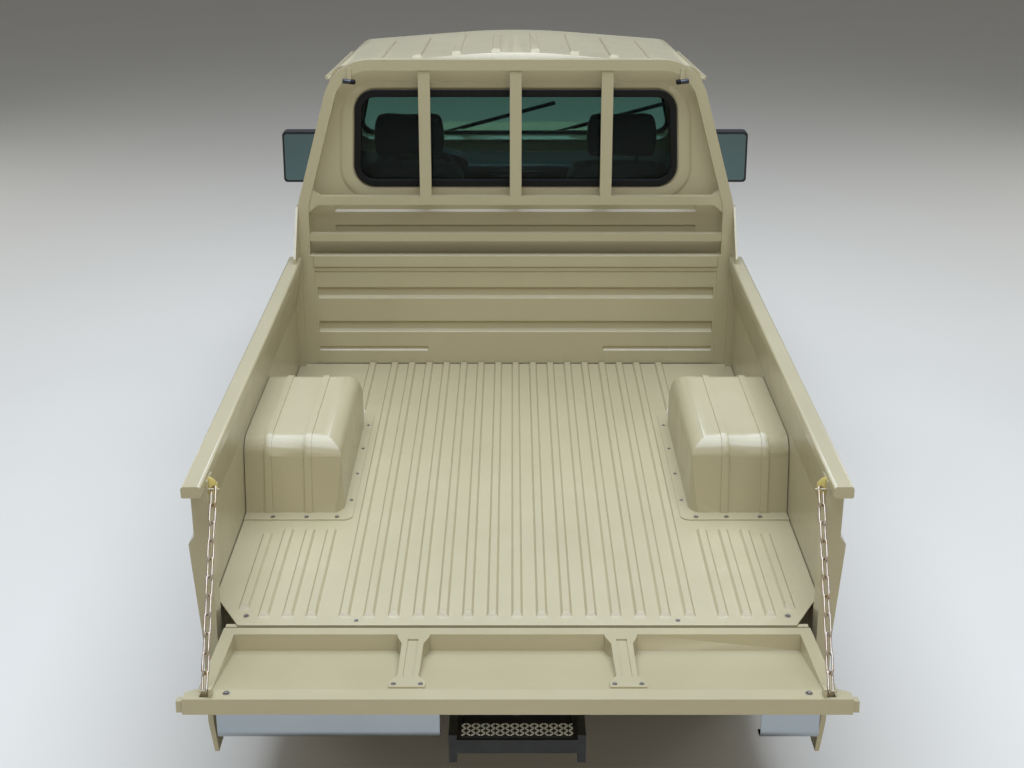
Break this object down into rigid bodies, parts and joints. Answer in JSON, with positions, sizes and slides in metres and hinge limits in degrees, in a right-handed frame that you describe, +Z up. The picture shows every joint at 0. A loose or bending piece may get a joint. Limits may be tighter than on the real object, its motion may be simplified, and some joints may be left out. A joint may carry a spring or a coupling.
{
  "type": "pickup truck",
  "caption": "Single-cab off-road pickup truck with a ribbed open load bed, rear-window guard hoop and a lowered tailgate hung on chains.",
  "frame": {"origin": "on the ground under the middle of the overall box, with the tailgate down", "axes": "+Y forward, +X to the truck's right, +Z up"},
  "size_m": [2.16, 5.5964, 1.9491],
  "materials": {
    "body_paint": "satin",
    "chassis_black": "satin",
    "cast": "matt",
    "tyre": "matt",
    "chrome": "polished",
    "zinc": "plated",
    "glass": "clear",
    "rubber": "matt",
    "black_plastic": "grained",
    "red_lens": "clear",
    "lamp_lens": "clear",
    "fabric": "woven",
    "grey_paint": "satin"
  },
  "bodies": {
    "truck": {"chassis_rails": "chassis_black", "cross_members": "chassis_black", "engine_block": "cast", "front_axle": "chassis_black", "rear_axle": "chassis_black", "leaf_springs": "chassis_black", "drive_shafts": "cast", "fuel_tank": "chassis_black", "exhaust": "cast", "bed_floor": "body_paint", "bed_sides": "body_paint", "wheelhouses": "body_paint", "bed_front_wall": "body_paint", "guard_frame": "body_paint", "rear_bumpers": "chrome", "rear_step": "chassis_black", "tail_lamps": "red_lens", "cab_floor": "body_paint", "cab_back": "body_paint", "cab_front": "body_paint", "roof": "body_paint", "cab_glass": "glass", "window_seals": "rubber", "front_fenders": "body_paint", "front_panel": "black_plastic", "headlamps": "lamp_lens", "front_bumper": "grey_paint", "dashboard": "black_plastic", "steering_wheel": "black_plastic", "seats": "fabric", "wipers": "black_plastic"},
    "left_door": {"door_left": "body_paint", "door_glass_left": "glass", "mirror_left": "black_plastic"},
    "right_door": {"door_right": "body_paint", "door_glass_right": "glass", "mirror_right": "black_plastic"},
    "engine_lid": {"bonnet": "body_paint"},
    "tail_leaf": {"tailgate": "body_paint"},
    "upper_chains": {"chain_upper": "zinc"},
    "lower_chains": {"chain_lower": "zinc"},
    "left_knuckle": {"knuckle_left": "cast"},
    "right_knuckle": {"knuckle_right": "cast"},
    "front_left_wheel": {"rim_front_left": "body_paint", "tyre_front_left": "tyre"},
    "front_right_wheel": {"rim_front_right": "body_paint", "tyre_front_right": "tyre"},
    "rear_left_wheel": {"rim_rear_left": "body_paint", "tyre_rear_left": "tyre"},
    "rear_right_wheel": {"rim_rear_right": "body_paint", "tyre_rear_right": "tyre"}
  },
  "joints": [
    {"name": "left_door_hinge", "type": "hinge", "parent": "truck", "child": "left_door", "pos_m": [-0.852, 1.40619, 1], "axis": [0, 0, -1], "range_deg": [0, 65]},
    {"name": "right_door_hinge", "type": "hinge", "parent": "truck", "child": "right_door", "pos_m": [0.852, 1.40619, 1], "axis": [0, 0, 1], "range_deg": [0, 65]},
    {"name": "bonnet_hinge", "type": "hinge", "parent": "truck", "child": "engine_lid", "pos_m": [0, 1.47119, 1.304], "axis": [1, 0, 0], "range_deg": [0, 50]},
    {"name": "tailgate_hinge", "type": "hinge", "parent": "truck", "child": "tail_leaf", "pos_m": [0, -2.37181, 0.724], "axis": [-1, 0, 0], "range_deg": [0, 85], "deforming": ["chain_upper", "chain_lower"]},
    {"name": "chain_upper_swing", "type": "hinge", "parent": "truck", "child": "upper_chains", "pos_m": [0, -2.33284, 1.14055], "axis": [1, 0, 0], "range_deg": [0, 51.09], "deforming": ["chain_upper", "chain_lower"]},
    {"name": "chain_lower_swing", "type": "hinge", "parent": "tail_leaf", "child": "lower_chains", "pos_m": [0, -2.76997, 0.78765], "axis": [-1, 0, 0], "range_deg": [0, 43.91], "deforming": ["chain_upper", "chain_lower"]},
    {"name": "left_steer", "type": "hinge", "parent": "truck", "child": "left_knuckle", "pos_m": [-0.66, 1.98819, 0.4], "axis": [0, 0, 1], "range_deg": [-33, 33]},
    {"name": "right_steer", "type": "hinge", "parent": "truck", "child": "right_knuckle", "pos_m": [0.66, 1.98819, 0.4], "axis": [0, 0, 1], "range_deg": [-33, 33]},
    {"name": "front_left_roll", "type": "hinge", "parent": "left_knuckle", "child": "front_left_wheel", "pos_m": [-0.7575, 1.98819, 0.4], "axis": [-1, 0, 0], "continuous": true},
    {"name": "front_right_roll", "type": "hinge", "parent": "right_knuckle", "child": "front_right_wheel", "pos_m": [0.7575, 1.98819, 0.4], "axis": [-1, 0, 0], "continuous": true},
    {"name": "rear_left_roll", "type": "hinge", "parent": "truck", "child": "rear_left_wheel", "pos_m": [-0.73, -1.19181, 0.4], "axis": [-1, 0, 0], "continuous": true},
    {"name": "rear_right_roll", "type": "hinge", "parent": "truck", "child": "rear_right_wheel", "pos_m": [0.73, -1.19181, 0.4], "axis": [-1, 0, 0], "continuous": true}
  ],
  "couplings": [
    {"joint": "chain_upper_swing", "follows": "tailgate_hinge", "ratio": 0.601},
    {"joint": "chain_lower_swing", "follows": "tailgate_hinge", "ratio": 0.51664},
    {"joint": "right_steer", "follows": "left_steer", "ratio": 1}
  ]
}
